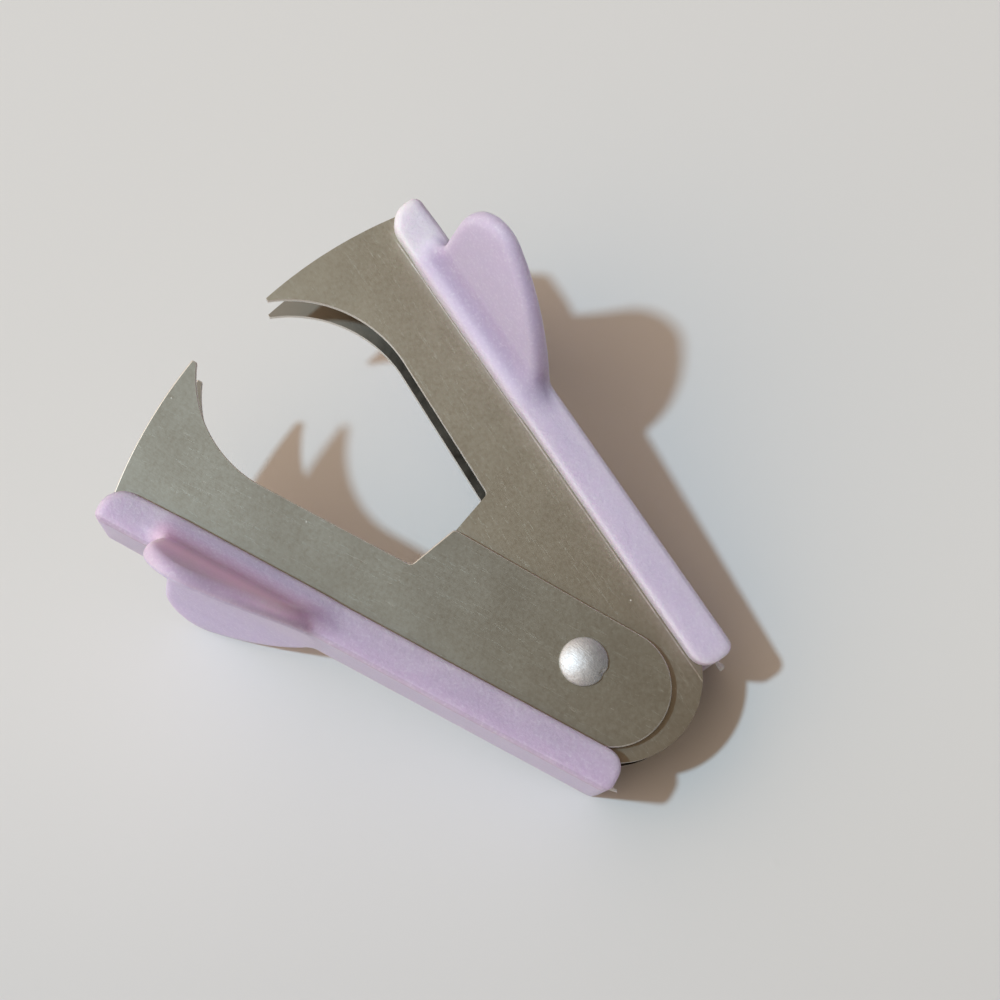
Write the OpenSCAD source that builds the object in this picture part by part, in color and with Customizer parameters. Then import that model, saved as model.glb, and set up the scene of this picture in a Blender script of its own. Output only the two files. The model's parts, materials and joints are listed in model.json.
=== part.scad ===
// Jaw staple remover: two sheet-metal claws on one rivet, each with a moulded plastic grip.
// The tool lies on its side, as it rests on a desk, with its nose propped up by the thumb wings.
// Each claw is drawn in its own jaw frame: u runs forward from the pivot along the claw,
// v points across to the other claw, and the pivot runs along z. Its back and its grip lean a
// little from that direction, about the pivot: distances on them are measured square to the back.

/* [Opening and rest] */
// Angle between the two jaw frames when the spring holds the claws open
open_angle = 26.5; // [22:0.5:26.5]
// Lean of the nose above the desk when the tool lies on its side
rest_tilt = 14.9; // [10:0.1:18]

/* [Sheet metal] */
// Thickness of the pressed steel
sheet = 0.8; // [0.6:0.05:0.9]
// Width of the outer claw over its cheeks
outer_jaw_w = 9; // [8.6:0.1:9.4]
// Running gap between an outer cheek and an inner cheek
cheek_gap = 0.15; // [0.1:0.05:0.2]
// Distance from the pivot to the front edge of the claws
fang_reach = 46.9; // [46:0.1:48]
// Radius of the curved throat behind each outer fang
outer_throat_r = 12; // [11.5:0.1:12.2]
// Radius of the curved throat behind each inner fang
inner_throat_r = 13.1; // [12.8:0.1:13.2]

/* [Grips] */
// Width of a grip bar across both sides
grip_w = 11.4; // [11:0.1:12]
// Depth of a grip bar, from its finger side to its lip
grip_depth = 3.85; // [3.6:0.05:4]
// Plastic thickness behind the steel web
grip_floor = 1.35; // [1.2:0.05:1.35]
// Distance from the pivot to the finger side of the outer grip
outer_back = 10; // [10:0.05:10.2]
// Distance from the pivot to the finger side of the inner grip
inner_back = 12.45; // [12.3:0.05:12.6]
// Lean of the outer claw's back and grip away from the other claw
outer_lean = 1.45; // [1:0.05:1.5]
// Lean of the inner claw's back and grip towards the other claw
inner_lean_in = 0.46; // [0.3:0.02:0.6]

/* [Thumb wings] */
// Span of the wings from tip to tip
wing_span = 33.1; // [30:0.1:33.1]
// Thickness of a wing
wing_t = 1.5; // [1.2:0.1:1.6]
// How far the outer grip's wing tips stand out past its finger side
outer_wing_rise = 2.85; // [2.5:0.05:3.5]
// How far the inner grip's wing tips stand out past its finger side
inner_wing_rise = 3.3; // [2.5:0.05:3.5]

/* [Rivet and spring] */
// Diameter of the rivet's shank
shank_d = 3; // [2.6:0.1:3.2]
// Diameter of the rivet's domed head
head_d = 4.6; // [4.4:0.1:5.2]
// Height of the rivet's domed head
head_h = 1.05; // [0.8:0.05:1.2]
// Diameter of the spring wire
wire_d = 0.8; // [0.6:0.1:0.8]
// Diameter of the spring coil at the middle of the wire
coil_d = 5.4; // [5:0.1:5.6]

/* [Hidden] */
round_fn = 128;
arc_steps = 12;
big = 60;                                   // longer than the whole tool
slip = 0.02;                                // clearance between seated faces
proud = 1;                                  // how far an uncut blank stands past its cutting shape
inner_jaw_w = outer_jaw_w - 2 * (sheet + cheek_gap);
outer_web = outer_back - grip_floor - slip; // outside face of the outer claw's web
inner_web = inner_back - grip_floor - slip; // outside face of the inner claw's web
fold_r = 1;                                 // outside radius of the folds beside the web

// Cheek outline of the outer claw, in its jaw frame
outer_arm = -0.1;                           // edge of the arm beside the shoulder
outer_arm_drop = 0.5;                       // how much the arm narrows towards its throat
outer_foot = 18.6;                          // foot of the shoulder
outer_strip = 4.9;                          // edge of the strip that covers the inner cheek
outer_corner = 16.75;                       // corner of the shoulder
outer_ear = [-3.5, -0.75];                  // centre of the round rear end
outer_throat_u = 34.9;
outer_tip = 6.6;                            // height of the blunted fang tip
outer_ear_r = outer_strip - outer_ear.y;

// Cheek outline of the inner claw, in its jaw frame
inner_arm = -1.6;
inner_arm_drop = 0.5;
inner_foot = 18.4;
inner_strip = 6.2;
inner_corner = 16.2;
inner_ear = [-2.8, -2];
inner_throat_u = 33.8;
inner_tip = 5.55;
inner_ear_r = inner_strip - inner_ear.y;
inner_nose = [0.9, -1.9];                   // centre of the inner claw's front edge
inner_nose_back = 1.2;                      // how much tighter the inner claw's front edge curves
inner_nose_r = fang_reach - inner_nose_back;
corner_r = 0.5;                             // rounding of the shoulder corners

// Grip bars, measured along their claws' backs
outer_grip_u = [-7.8, 47];
inner_grip_u = [-7.1, 46.2];
nose_lip_r = 2.5;                           // nose corner on the side of the claw
nose_back_r = 0.9;                          // nose corner on the finger side
rear_lip_r = 1.9;
rear_back_r = 1.1;
peg_u = [9, 37];                            // stakes that hold a grip to its web
peg_r = 1.4;
peg_head_r = 2.1;
peg_head_h = 0.5;
gate_r = 0.6;
gate_len = 0.9;
gate_v = 1.65;                              // from the finger side to the middle of the gate

// Thumb wings
wing_tip_u = 35.8;                          // station of the wing tips
wing_corner_r = 4.2;                        // rounding of the tips
wing_trail_r = 18.6;                        // curve of the trailing edge
wing_trail_turn = 112;                      // angle at which the tip runs into the trailing edge
gusset = 1.6;                               // slope between the bar's side and a wing
gusset_root = 0.5;                          // how deep the gusset reaches into bar and wing
gusset_edge = 0.8;                          // share of the gusset's height at the bar's side

// Rivet tail and spring
tail_r = 2.1;
tail_h = 0.6;
shank_clear = 0.03;
coil_turns = 3;
coil_gap = 0.12;                            // between neighbouring turns
spring_pitch = wire_d + coil_gap;
leg_u = 17;                                 // where each spring leg meets its web
turn_steps = 20;
leg_steps = 3;
wire_sides = 10;

// Height of the pivot above the desk: the rear end of the outer grip touches the desk
half_open = open_angle / 2;
inner_lean = -inner_lean_in;
rear_turn = half_open + outer_lean;
rear_x = (outer_grip_u[0] + rear_back_r) * cos(rear_turn) - (outer_back - rear_back_r) * sin(rear_turn)
         - rear_back_r;
desk_to_pivot = grip_w / 2 * cos(rest_tilt) - rear_x * sin(rest_tilt) + slip;
// Middle of the footprint, seen from the pivot
footprint_x = 17.19;
footprint_y = -0.69;

function unit(p) = p / norm(p);

// Places children drawn with the pivot along z into the resting pose
module at_rest() {
    translate([-footprint_x, -footprint_y, desk_to_pivot])
        rotate([0, -rest_tilt, 0])
            children();
}

// Jaw frame of the outer claw, on the +y side
module outer_frame() {
    at_rest()
        rotate([0, 0, half_open])
            mirror([0, 1, 0])
                children();
}

// Jaw frame of the inner claw, on the -y side
module inner_frame() {
    at_rest()
        rotate([0, 0, -half_open])
            children();
}

// Turns children drawn square to a claw's back into its jaw frame
module leaned(lean) {
    rotate([0, 0, -lean])
        children();
}

// Cheek outline: arm, shoulder, strip over the pivot and round ear, cut by the throat and the tip
module cheek(arm, drop, foot, corner, strip, ear, ear_r, throat_u, throat_r, tip, web, nose, nose_r) {
    throat_v = arm - drop + throat_r;
    slope = unit([foot - corner, arm - strip]);         // down the shoulder
    half_turn = acos(-slope.x) / 2;
    inset = corner_r / tan(half_turn);                  // from the sharp corner to each tangent point
    difference() {
        intersection() {
            translate(nose)
                circle(r = nose_r, $fn = round_fn);
            union() {
                polygon([
                    [ear.x, strip], [corner - inset, strip],
                    [corner, strip] + inset * slope,
                    [foot, arm], [throat_u, arm - drop], [big, arm - drop],
                    [big, -2 * web], [ear.x, -2 * web]
                ]);
                translate([corner - inset, strip - corner_r])
                    circle(r = corner_r, $fn = round_fn);
                translate([throat_u, arm - drop - proud])
                    square([big, tip - arm + drop + proud]);
                translate(ear)
                    circle(r = ear_r, $fn = round_fn);
            }
        }
        translate([throat_u, throat_v])
            circle(r = throat_r, $fn = round_fn);
    }
}

// Solid between the two cheek faces, open on the v side: a folded channel in section
module channel(width, web) {
    rotate([90, 0, 90])
        linear_extrude(height = 2 * big, center = true)
            difference() {
                channel_section(width, web, fold_r);
                offset_channel(width, web);
            }
}

// Outside of the folded section: v across, z up
module channel_section(width, web, r) {
    translate([-web + r, -width / 2])
        square([2 * big, width]);
    translate([-web, -width / 2 + r])
        square([2 * big, width - 2 * r]);
    for (side = [-1, 1])
        translate([-web + r, side * (width / 2 - r)])
            circle(r = r, $fn = round_fn);
}

// Inside of the folded section
module offset_channel(width, web) {
    channel_section(width - 2 * sheet, web - sheet, fold_r - sheet);
}

// Holes across both cheeks for the rivet
module rivet_hole(clear) {
    cylinder(r = shank_d / 2 + clear, h = big, center = true, $fn = round_fn);
}

// Holes through the web for the grip's stakes
module stake_holes() {
    for (u = peg_u)
        translate([u, 0, 0])
            rotate([90, 0, 0])
                cylinder(r = peg_r + slip, h = big, center = false, $fn = round_fn);
}

module outer_jaw() {
    color([0.57, 0.55, 0.48])
        outer_frame()
            difference() {
                intersection() {
                    linear_extrude(height = outer_jaw_w + 2 * proud, center = true)
                        cheek(outer_arm, outer_arm_drop, outer_foot, outer_corner, outer_strip,
                              outer_ear, outer_ear_r, outer_throat_u, outer_throat_r, outer_tip,
                              outer_web, [0, 0], fang_reach);
                    leaned(outer_lean)
                        channel(outer_jaw_w, outer_web);
                }
                rivet_hole(slip);
                leaned(outer_lean)
                    stake_holes();
            }
}

module inner_jaw() {
    color([0.5, 0.47, 0.4])
        inner_frame()
            difference() {
                intersection() {
                    linear_extrude(height = inner_jaw_w + 2 * proud, center = true)
                        cheek(inner_arm, inner_arm_drop, inner_foot, inner_corner, inner_strip,
                              inner_ear, inner_ear_r, inner_throat_u, inner_throat_r, inner_tip,
                              inner_web, inner_nose, inner_nose_r);
                    leaned(inner_lean)
                        channel(inner_jaw_w, inner_web);
                }
                rivet_hole(shank_clear);
                leaned(inner_lean)
                    stake_holes();
            }
}

// Side outline of a grip bar: well rounded towards the claw, less on the finger side
module bar_outline(back, span) {
    lip = grip_depth - back;
    polygon([
        [span[0] + rear_back_r, -back], [span[1] - nose_back_r, -back],
        [span[1], -back + nose_back_r], [span[1], lip - nose_lip_r],
        [span[1] - nose_lip_r, lip], [span[0] + rear_lip_r, lip],
        [span[0], lip - rear_lip_r], [span[0], -back + rear_back_r]
    ]);
    translate([span[1] - nose_back_r, -back + nose_back_r])
        circle(r = nose_back_r, $fn = round_fn);
    translate([span[1] - nose_lip_r, lip - nose_lip_r])
        circle(r = nose_lip_r, $fn = round_fn);
    translate([span[0] + rear_lip_r, lip - rear_lip_r])
        circle(r = rear_lip_r, $fn = round_fn);
    translate([span[0] + rear_back_r, -back + rear_back_r])
        circle(r = rear_back_r, $fn = round_fn);
}

// Channel in the bar that seats the claw, open at the rear for the other claw's ear
module seat(jaw_w, web, nose, nose_r, lean) {
    intersection() {
        leaned(-lean)
            translate([nose.x, nose.y, 0])
                cylinder(r = nose_r + slip, h = big, center = true, $fn = round_fn);
        rotate([90, 0, 90])
            linear_extrude(height = 2 * big, center = true)
                channel_section(jaw_w + 2 * slip, web + slip, fold_r);
    }
}

// Points on an arc, from one angle to another
function arc(centre, r, from, to) =
    [for (i = [0 : arc_steps]) let (a = from + (to - from) * i / arc_steps) centre + r * [cos(a), sin(a)]];

// Planform of the pair of thumb wings: u along, z across
module wing_planform() {
    tip = [wing_tip_u, wing_span / 2 - wing_corner_r];
    trail = tip - (wing_trail_r - wing_corner_r) * [cos(wing_trail_turn), sin(wing_trail_turn)];
    edge = concat(
        arc(tip, wing_corner_r, 0, wing_trail_turn),
        arc(trail, wing_trail_r, wing_trail_turn, 180 + asin(trail.y / wing_trail_r))
    );
    polygon(concat([[tip.x + wing_corner_r, 0]], edge));
    mirror([0, 1])
        polygon(concat([[tip.x + wing_corner_r, 0]], edge));
}

// Section across the wings: a saddle whose tips stand out past the bar's finger side
module wing_section(back, rise) {
    half = wing_span / 2;
    saddle_r = (half * half + rise * rise) / (2 * rise);
    difference() {
        translate([-back - saddle_r, 0])
            circle(r = saddle_r + wing_t, $fn = round_fn);
        translate([-back - saddle_r, 0])
            circle(r = saddle_r, $fn = round_fn);
        translate([-back - 3 * saddle_r, -2 * saddle_r])
            square([2 * saddle_r, 4 * saddle_r]);
    }
    for (side = [-1, 1])
        polygon([
            [-back + wing_t / 2, side * (grip_w / 2 - gusset_root)],
            [-back + wing_t + gusset, side * (grip_w / 2 - gusset_root)],
            [-back + wing_t + gusset * gusset_edge, side * grip_w / 2],
            [-back + wing_t - gusset_root, side * (grip_w / 2 + gusset)]
        ]);
}

module wings(back, rise) {
    intersection() {
        rotate([90, 0, 0])
            linear_extrude(height = big, center = true)
                wing_planform();
        rotate([90, 0, 90])
            linear_extrude(height = big, center = false)
                wing_section(back, rise);
    }
}

// Stakes moulded on the bar's floor, with heads spread over the inside of the web
module stakes(back, web) {
    for (u = peg_u) {
        translate([u, -back + grip_floor / 2, 0])
            rotate([-90, 0, 0])
                cylinder(r = peg_r, h = back - grip_floor / 2 - web + sheet + slip + peg_head_h / 2,
                         $fn = round_fn);
        translate([u, -web + sheet + slip, 0])
            rotate([-90, 0, 0])
                cylinder(r = peg_head_r, h = peg_head_h, $fn = round_fn);
    }
}

// Broken-off moulding gate on the rear end
module gate(back, rear) {
    translate([rear - gate_len, gate_v - back, 0])
        rotate([0, 90, 0])
            cylinder(r = gate_r, h = 2 * gate_len, $fn = round_fn);
}

module grip(back, rise, span, jaw_w, web, nose, nose_r, lean) {
    difference() {
        union() {
            linear_extrude(height = grip_w, center = true)
                bar_outline(back, span);
            wings(back, rise);
            gate(back, span[0]);
        }
        seat(jaw_w, web, nose, nose_r, lean);
    }
    stakes(back, web);
}

module outer_grip() {
    color([0.82, 0.75, 0.88])
        outer_frame()
            leaned(outer_lean)
                grip(outer_back, outer_wing_rise, outer_grip_u, outer_jaw_w, outer_web,
                     [0, 0], fang_reach, outer_lean);
}

module inner_grip() {
    color([0.85, 0.78, 0.91])
        inner_frame()
            leaned(inner_lean)
                grip(inner_back, inner_wing_rise, inner_grip_u, inner_jaw_w, inner_web,
                     inner_nose, inner_nose_r, inner_lean);
}

// Shank, domed head on the upper cheek and flattened tail on the lower one
module pivot_rivet() {
    dome_r = (head_d * head_d / 4 + head_h * head_h) / (2 * head_h);
    face = outer_jaw_w / 2 + slip;
    color([0.78, 0.78, 0.77])
        at_rest() {
            translate([0, 0, -face - tail_h / 2])
                cylinder(d = shank_d, h = 2 * face + tail_h / 2 + head_h / 2, $fn = round_fn);
            intersection() {
                translate([0, 0, face + head_h - dome_r])
                    sphere(r = dome_r, $fn = round_fn);
                translate([0, 0, face])
                    cylinder(d = head_d, h = head_h, $fn = round_fn);
            }
            translate([0, 0, -face - tail_h])
                cylinder(r = tail_r, h = tail_h, $fn = round_fn);
        }
}

// Point at unit distance from the pivot, at an angle about it
function ray(a) = [cos(a), sin(a)];

// Where each spring leg ends, against the inside of its web, as [distance, angle] about the pivot
leg_slip = 0.05;
leg_gap = wire_d / 2 + leg_slip;
leg_v_outer = outer_web - sheet - leg_gap;
leg_v_inner = inner_web - sheet - leg_gap;
leg_reach_outer = norm([leg_u, leg_v_outer]);
leg_reach_inner = norm([leg_u, leg_v_inner]);
leg_angle_outer = half_open + outer_lean + atan2(leg_v_outer, leg_u);
leg_angle_inner = -half_open - inner_lean - atan2(leg_v_inner, leg_u);

// Angles at which the straight legs leave the coil
coil_r = coil_d / 2;
leave_outer = leg_angle_outer + acos(coil_r / leg_reach_outer);
leave_inner = leg_angle_inner - acos(coil_r / leg_reach_inner);
coil_sweep = 360 * coil_turns + 360 - (leave_outer - leave_inner);
coil_count = ceil(coil_sweep / 360 * turn_steps);
coil_len = spring_pitch * coil_sweep / 360;

// Centre line of the wire: inner leg, coil round the rear, outer leg
function coil_point(i) =
    let (a = leave_inner - coil_sweep * i / coil_count, z = coil_len * (i / coil_count - 0.5))
    [coil_r * cos(a), coil_r * sin(a), z];
function leg_point(reach, angle, z, i, start) =
    let (tip = reach * ray(angle), s = i / leg_steps)
    [tip.x + (start.x - tip.x) * s, tip.y + (start.y - tip.y) * s, z];
wire_path = concat(
    [for (i = [0 : leg_steps - 1])
        leg_point(leg_reach_inner, leg_angle_inner, -coil_len / 2, i, coil_point(0))],
    [for (i = [0 : coil_count]) coil_point(i)],
    [for (i = [leg_steps - 1 : -1 : 0])
        leg_point(leg_reach_outer, leg_angle_outer, coil_len / 2, i, coil_point(coil_count))]
);

// One ring of the wire's skin, square to the path and upright along the pivot
function path_dir(p, i) = unit(p[min(i + 1, len(p) - 1)] - p[max(i - 1, 0)]);
function wire_ring(p, i) =
    let (side = unit(cross(path_dir(p, i), [0, 0, 1])), up = cross(side, path_dir(p, i)))
    [for (k = [0 : wire_sides - 1])
        p[i] + wire_d / 2 * (cos(360 * k / wire_sides) * side + sin(360 * k / wire_sides) * up)];

module swept_wire(path) {
    rings = len(path);
    skin = [for (i = [0 : rings - 1]) each wire_ring(path, i)];
    walls = [for (i = [0 : rings - 2], k = [0 : wire_sides - 1])
        let (a = i * wire_sides + k, b = i * wire_sides + (k + 1) % wire_sides)
        [a, a + wire_sides, b + wire_sides, b]];
    ends = [
        [for (k = [0 : wire_sides - 1]) k],
        [for (k = [wire_sides - 1 : -1 : 0]) (rings - 1) * wire_sides + k]
    ];
    polyhedron(points = skin, faces = concat(walls, ends));
}

module torsion_spring() {
    color([0.72, 0.72, 0.72])
        at_rest()
            swept_wire(wire_path);
}

outer_jaw();
inner_jaw();
outer_grip();
inner_grip();
pivot_rivet();
torsion_spring();
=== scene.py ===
import json
import math

import bmesh
import bpy
import numpy as np
from mathutils import Matrix, Vector

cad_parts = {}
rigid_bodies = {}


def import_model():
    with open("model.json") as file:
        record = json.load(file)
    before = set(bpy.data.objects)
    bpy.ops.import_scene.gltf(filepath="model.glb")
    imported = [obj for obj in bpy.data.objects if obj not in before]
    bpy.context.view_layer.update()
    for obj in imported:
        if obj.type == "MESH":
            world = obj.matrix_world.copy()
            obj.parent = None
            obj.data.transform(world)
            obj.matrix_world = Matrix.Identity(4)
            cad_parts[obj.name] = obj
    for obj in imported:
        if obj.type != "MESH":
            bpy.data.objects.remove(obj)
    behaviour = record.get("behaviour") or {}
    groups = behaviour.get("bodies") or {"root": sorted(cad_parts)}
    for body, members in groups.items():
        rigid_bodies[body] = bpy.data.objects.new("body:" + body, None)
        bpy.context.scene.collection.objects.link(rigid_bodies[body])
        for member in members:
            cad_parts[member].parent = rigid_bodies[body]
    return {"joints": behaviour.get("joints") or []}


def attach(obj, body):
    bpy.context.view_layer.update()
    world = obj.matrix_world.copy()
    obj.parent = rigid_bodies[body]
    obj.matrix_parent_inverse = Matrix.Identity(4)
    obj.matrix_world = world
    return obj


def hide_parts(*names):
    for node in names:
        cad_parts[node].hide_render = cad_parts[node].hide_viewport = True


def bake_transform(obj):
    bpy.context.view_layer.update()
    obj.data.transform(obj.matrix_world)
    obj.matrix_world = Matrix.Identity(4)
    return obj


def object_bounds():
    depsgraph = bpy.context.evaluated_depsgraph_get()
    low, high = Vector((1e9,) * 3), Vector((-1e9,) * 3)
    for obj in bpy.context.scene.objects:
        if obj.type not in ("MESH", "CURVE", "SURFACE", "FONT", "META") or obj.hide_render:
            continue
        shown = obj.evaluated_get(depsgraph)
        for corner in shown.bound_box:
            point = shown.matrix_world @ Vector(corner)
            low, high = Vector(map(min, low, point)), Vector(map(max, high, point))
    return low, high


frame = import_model()
cad_low, cad_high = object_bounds()

# ---------------------------------------------------------------- where things are
# Sizes are in millimetres. A claw has two frames about the pivot. Its jaw frame is the one the
# hinge turns. Its leaned frame is turned from that by the claw's lean, so that the claw's back runs
# straight along it; the sheet and the grip are drawn in it. In both, u runs forward along the claw,
# v points across to the other claw and z runs along the pivot towards the rivet's head.
# FORWARD is the middle line between the open claws and SIDE points to the outer claw. At rest the
# jaw frames are as far apart as the hinge can turn.
MM = 0.001
HINGE = frame["joints"][0]
PIVOT = Vector(HINGE["pos_m"])
AXIS = Vector(HINGE["axis"]).normalized()
FORWARD = Vector((AXIS.z, 0, -AXIS.x))
SIDE = AXIS.cross(FORWARD)
HALF_OPEN = math.radians(HINGE["range_deg"][1]) / 2
OUTER, INNER = 1, -1
BODY = {OUTER: HINGE["parent"], INNER: HINGE["child"]}
NAME = {OUTER: "outer", INNER: "inner"}

# ---------------------------------------------------------------- driving sizes
SHEET = 0.8
FOLD_R = 1.0
FOLD_CUTS = 9
FOOT_R = 0.6
CORNER_R = 0.5
ARM_DROP = 0.5
BROKEN_EDGE = 0.11
FANG_REACH = 46.9
GRIP_HALF = 5.7
GRIP_DEPTH = 3.85
GRIP_FLOOR = 1.37
STAKE_U = (9.0, 37.0)
STAKE_R = 1.4
SHANK_R = 1.5
SLIP = 0.02
TURNING_SLIP = 0.03


class Claw:
    """Sizes of one claw and its grip. The back, the web and the grip are measured in the leaned
    frame, the edges of the cheeks in the jaw frame."""

    def __init__(self, side, width, back, lean, rise, grip_u, nose, nose_r, ear, strip, corner, foot, arm,
                 throat_u, throat_r, tip):
        self.side = side
        self.width = width                    # across both cheeks
        self.flat = width / 2 - FOLD_R        # from the middle of the web to the start of a fold
        self.fold_end = self.flat + FOLD_R * math.pi / 2
        self.back = back                      # from the pivot to the grip's finger side
        self.web = back - GRIP_FLOOR          # from the pivot to the web's outer skin
        self.lean = math.radians(lean)
        self.rise = rise                      # how far the wings' ends bend away from the claw
        self.grip_u = grip_u                  # the grip's rear and front ends
        self.nose = nose                      # centre of the curved front edge
        self.nose_r = nose_r
        self.ear = ear                        # centre of the round rear end
        self.strip = strip                    # v of the cheek's edge between ear and corner
        self.corner = corner                  # u of the mouth's rear corner
        self.foot = foot                      # u where the arm's edge starts
        self.arm = arm                        # v of the arm's edge at the foot
        self.throat_u = throat_u              # u of the centre of the fang's hollow
        self.throat_r = throat_r
        self.tip = tip                        # v of the fang's tip

    def leaned(self, point):
        """A (u, v) point of the jaw frame in the leaned frame."""
        c, s = math.cos(self.lean), math.sin(self.lean)
        return (point[0] * c - point[1] * s, point[0] * s + point[1] * c)

    def to_row(self, points):
        """Points in the leaned frame, in millimetres, as points in the row frame, in metres."""
        c, s = math.cos(HALF_OPEN + self.lean), math.sin(HALF_OPEN + self.lean)
        u_dir = np.array(FORWARD * c + SIDE * (s * self.side))
        v_dir = np.array(FORWARD * s - SIDE * (c * self.side))
        p = np.asarray(points, float) * MM
        return np.array(PIVOT) + p[:, :1] * u_dir + p[:, 1:2] * v_dir + p[:, 2:] * np.array(AXIS)


OUTER_CLAW = Claw(side=OUTER, width=9.0, back=10.0, lean=1.45, rise=2.85, grip_u=(-7.8, 47.0),
                  nose=(0, 0), nose_r=FANG_REACH, ear=(-3.5, -0.75), strip=4.9, corner=16.75,
                  foot=18.6, arm=-0.1, throat_u=34.9, throat_r=12.0, tip=6.6)
INNER_CLAW = Claw(side=INNER, width=7.1, back=12.45, lean=-0.46, rise=3.3, grip_u=(-7.1, 46.2),
                  nose=(0.9, -1.9), nose_r=FANG_REACH - 1.2, ear=(-2.8, -2.0), strip=6.2, corner=16.2,
                  foot=18.4, arm=-1.6, throat_u=33.8, throat_r=13.1, tip=5.55)
CLAWS = {OUTER: OUTER_CLAW, INNER: INNER_CLAW}


# ---------------------------------------------------------------- mesh helpers
def new_object(name, vertices, faces):
    """A smooth-shaded mesh object in the scene."""
    mesh = bpy.data.meshes.new(name)
    mesh.from_pydata([tuple(v) for v in vertices], [], [tuple(int(i) for i in f) for f in faces])
    mesh.validate()
    mesh.polygons.foreach_set("use_smooth", [True] * len(mesh.polygons))
    obj = bpy.data.objects.new(name, mesh)
    bpy.context.scene.collection.objects.link(obj)
    return obj


def point_outward(obj):
    """Turns every face of a closed mesh outward."""
    mesh = bmesh.new()
    mesh.from_mesh(obj.data)
    bmesh.ops.recalc_face_normals(mesh, faces=mesh.faces)
    mesh.to_mesh(obj.data)
    mesh.free()


def keep_local(obj, points):
    """Stores the millimetres a mesh is drawn in on each vertex, for materials that follow the part."""
    local = obj.data.attributes.new("local", "FLOAT_VECTOR", "POINT")
    local.data.foreach_set("vector", np.asarray(points, np.float32).ravel())


def settle(obj, claw, points):
    """Puts a mesh drawn in a claw's leaned frame in its place in the row frame."""
    keep_local(obj, points)
    obj.data.vertices.foreach_set("co", claw.to_row(points).astype(np.float32).ravel())
    obj.data.update()
    point_outward(obj)


def arc(centre, radius, start, end, count):
    """Points on an arc, angles in degrees."""
    angles = np.radians(np.linspace(start, end, count))
    return [(centre[0] + radius * math.cos(a), centre[1] + radius * math.sin(a)) for a in angles]


def fillet(corner, before, after, radius):
    """Points of the arc that rounds a corner between its two neighbours."""
    c, a, b = (np.array(p, float) for p in (corner, before, after))
    to_a, to_b = (a - c) / np.linalg.norm(a - c), (b - c) / np.linalg.norm(b - c)
    half = math.acos(float(to_a @ to_b)) / 2
    middle = (to_a + to_b) / np.linalg.norm(to_a + to_b)
    centre = c + middle * radius / math.sin(half)
    first, last = c + to_a * radius / math.tan(half), c + to_b * radius / math.tan(half)
    start, end = (math.atan2(*(p - centre)[::-1]) for p in (first, last))
    sweep = (end - start + math.pi) % (2 * math.pi) - math.pi
    return arc(centre, radius, math.degrees(start), math.degrees(start + sweep), 7)


# ---------------------------------------------------------------- sheet-metal claws
SKIN, EDGE, INSIDE = 0, 1, 2


def front_angle(claw, v):
    """Angle on the claw's curved front edge, in the leaned frame, at a given v."""
    return math.degrees(math.asin((v - claw.leaned(claw.nose)[1]) / claw.nose_r))


def rear_edge(claw, v):
    """Where the claw's square rear edge is, in the leaned frame, at a given v."""
    return (claw.ear[0] - v * math.sin(claw.lean)) / math.cos(claw.lean)


def cheek_outline(claw):
    """Edge of one cheek in the leaned frame, from the front of its fold, over the fang and the ear,
    to the fold's rear."""
    bend_top = -claw.web + FOLD_R
    foot, corner = (claw.foot, claw.arm), (claw.corner, claw.strip)
    arm_end = (claw.throat_u, claw.arm - ARM_DROP)
    throat = (claw.throat_u, arm_end[1] + claw.throat_r)
    tip_angle = math.degrees(math.asin((claw.tip - claw.nose[1]) / claw.nose_r) + claw.lean)
    throat_start = math.degrees(math.asin((claw.tip - throat[1]) / claw.throat_r))
    points = arc(throat, claw.throat_r, throat_start, -90, 36)
    points += fillet(foot, arm_end, corner, FOOT_R)
    points += fillet(corner, foot, (claw.ear[0], claw.strip), CORNER_R)
    points += arc(claw.ear, claw.strip - claw.ear[1], 90, 270, 48)
    front = arc(claw.leaned(claw.nose), claw.nose_r, front_angle(claw, bend_top), tip_angle, 28)
    return front + [claw.leaned(p) for p in points] + [(rear_edge(claw, bend_top), bend_top)]


def blank_outline(claw):
    """The flat blank: u along the back, s across the sheet from the middle of the web."""
    cheek = [(u, claw.fold_end + v + claw.web - FOLD_R) for u, v in cheek_outline(claw)]
    nose_u = claw.leaned(claw.nose)[0]
    front, rear = [], []
    for t in np.linspace(0, 1, FOLD_CUTS)[:-1]:
        v = -claw.web + FOLD_R * (1 - math.cos(t * math.pi / 2))
        s = claw.flat + t * (claw.fold_end - claw.flat)
        front.append((nose_u + claw.nose_r * math.cos(math.radians(front_angle(claw, v))), s))
        rear.append((rear_edge(claw, v), s))
    upper = front + cheek + rear[::-1]
    return upper + [(u, -s) for u, s in reversed(upper)]


def fold_up(claw, u, s):
    """Outer skin point and inward direction of a blank point after folding."""
    side = 1 if s >= 0 else -1
    s = abs(s)
    if s <= claw.flat:
        return (u, -claw.web, side * s), (0, 1, 0)
    if s >= claw.fold_end:
        return (u, -claw.web + FOLD_R + s - claw.fold_end, side * claw.width / 2), (0, 0, -side)
    a = (s - claw.flat) / FOLD_R
    v = -claw.web + FOLD_R * (1 - math.cos(a))
    return (u, v, side * (claw.flat + FOLD_R * math.sin(a))), (0, math.cos(a), -side * math.sin(a))


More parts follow.
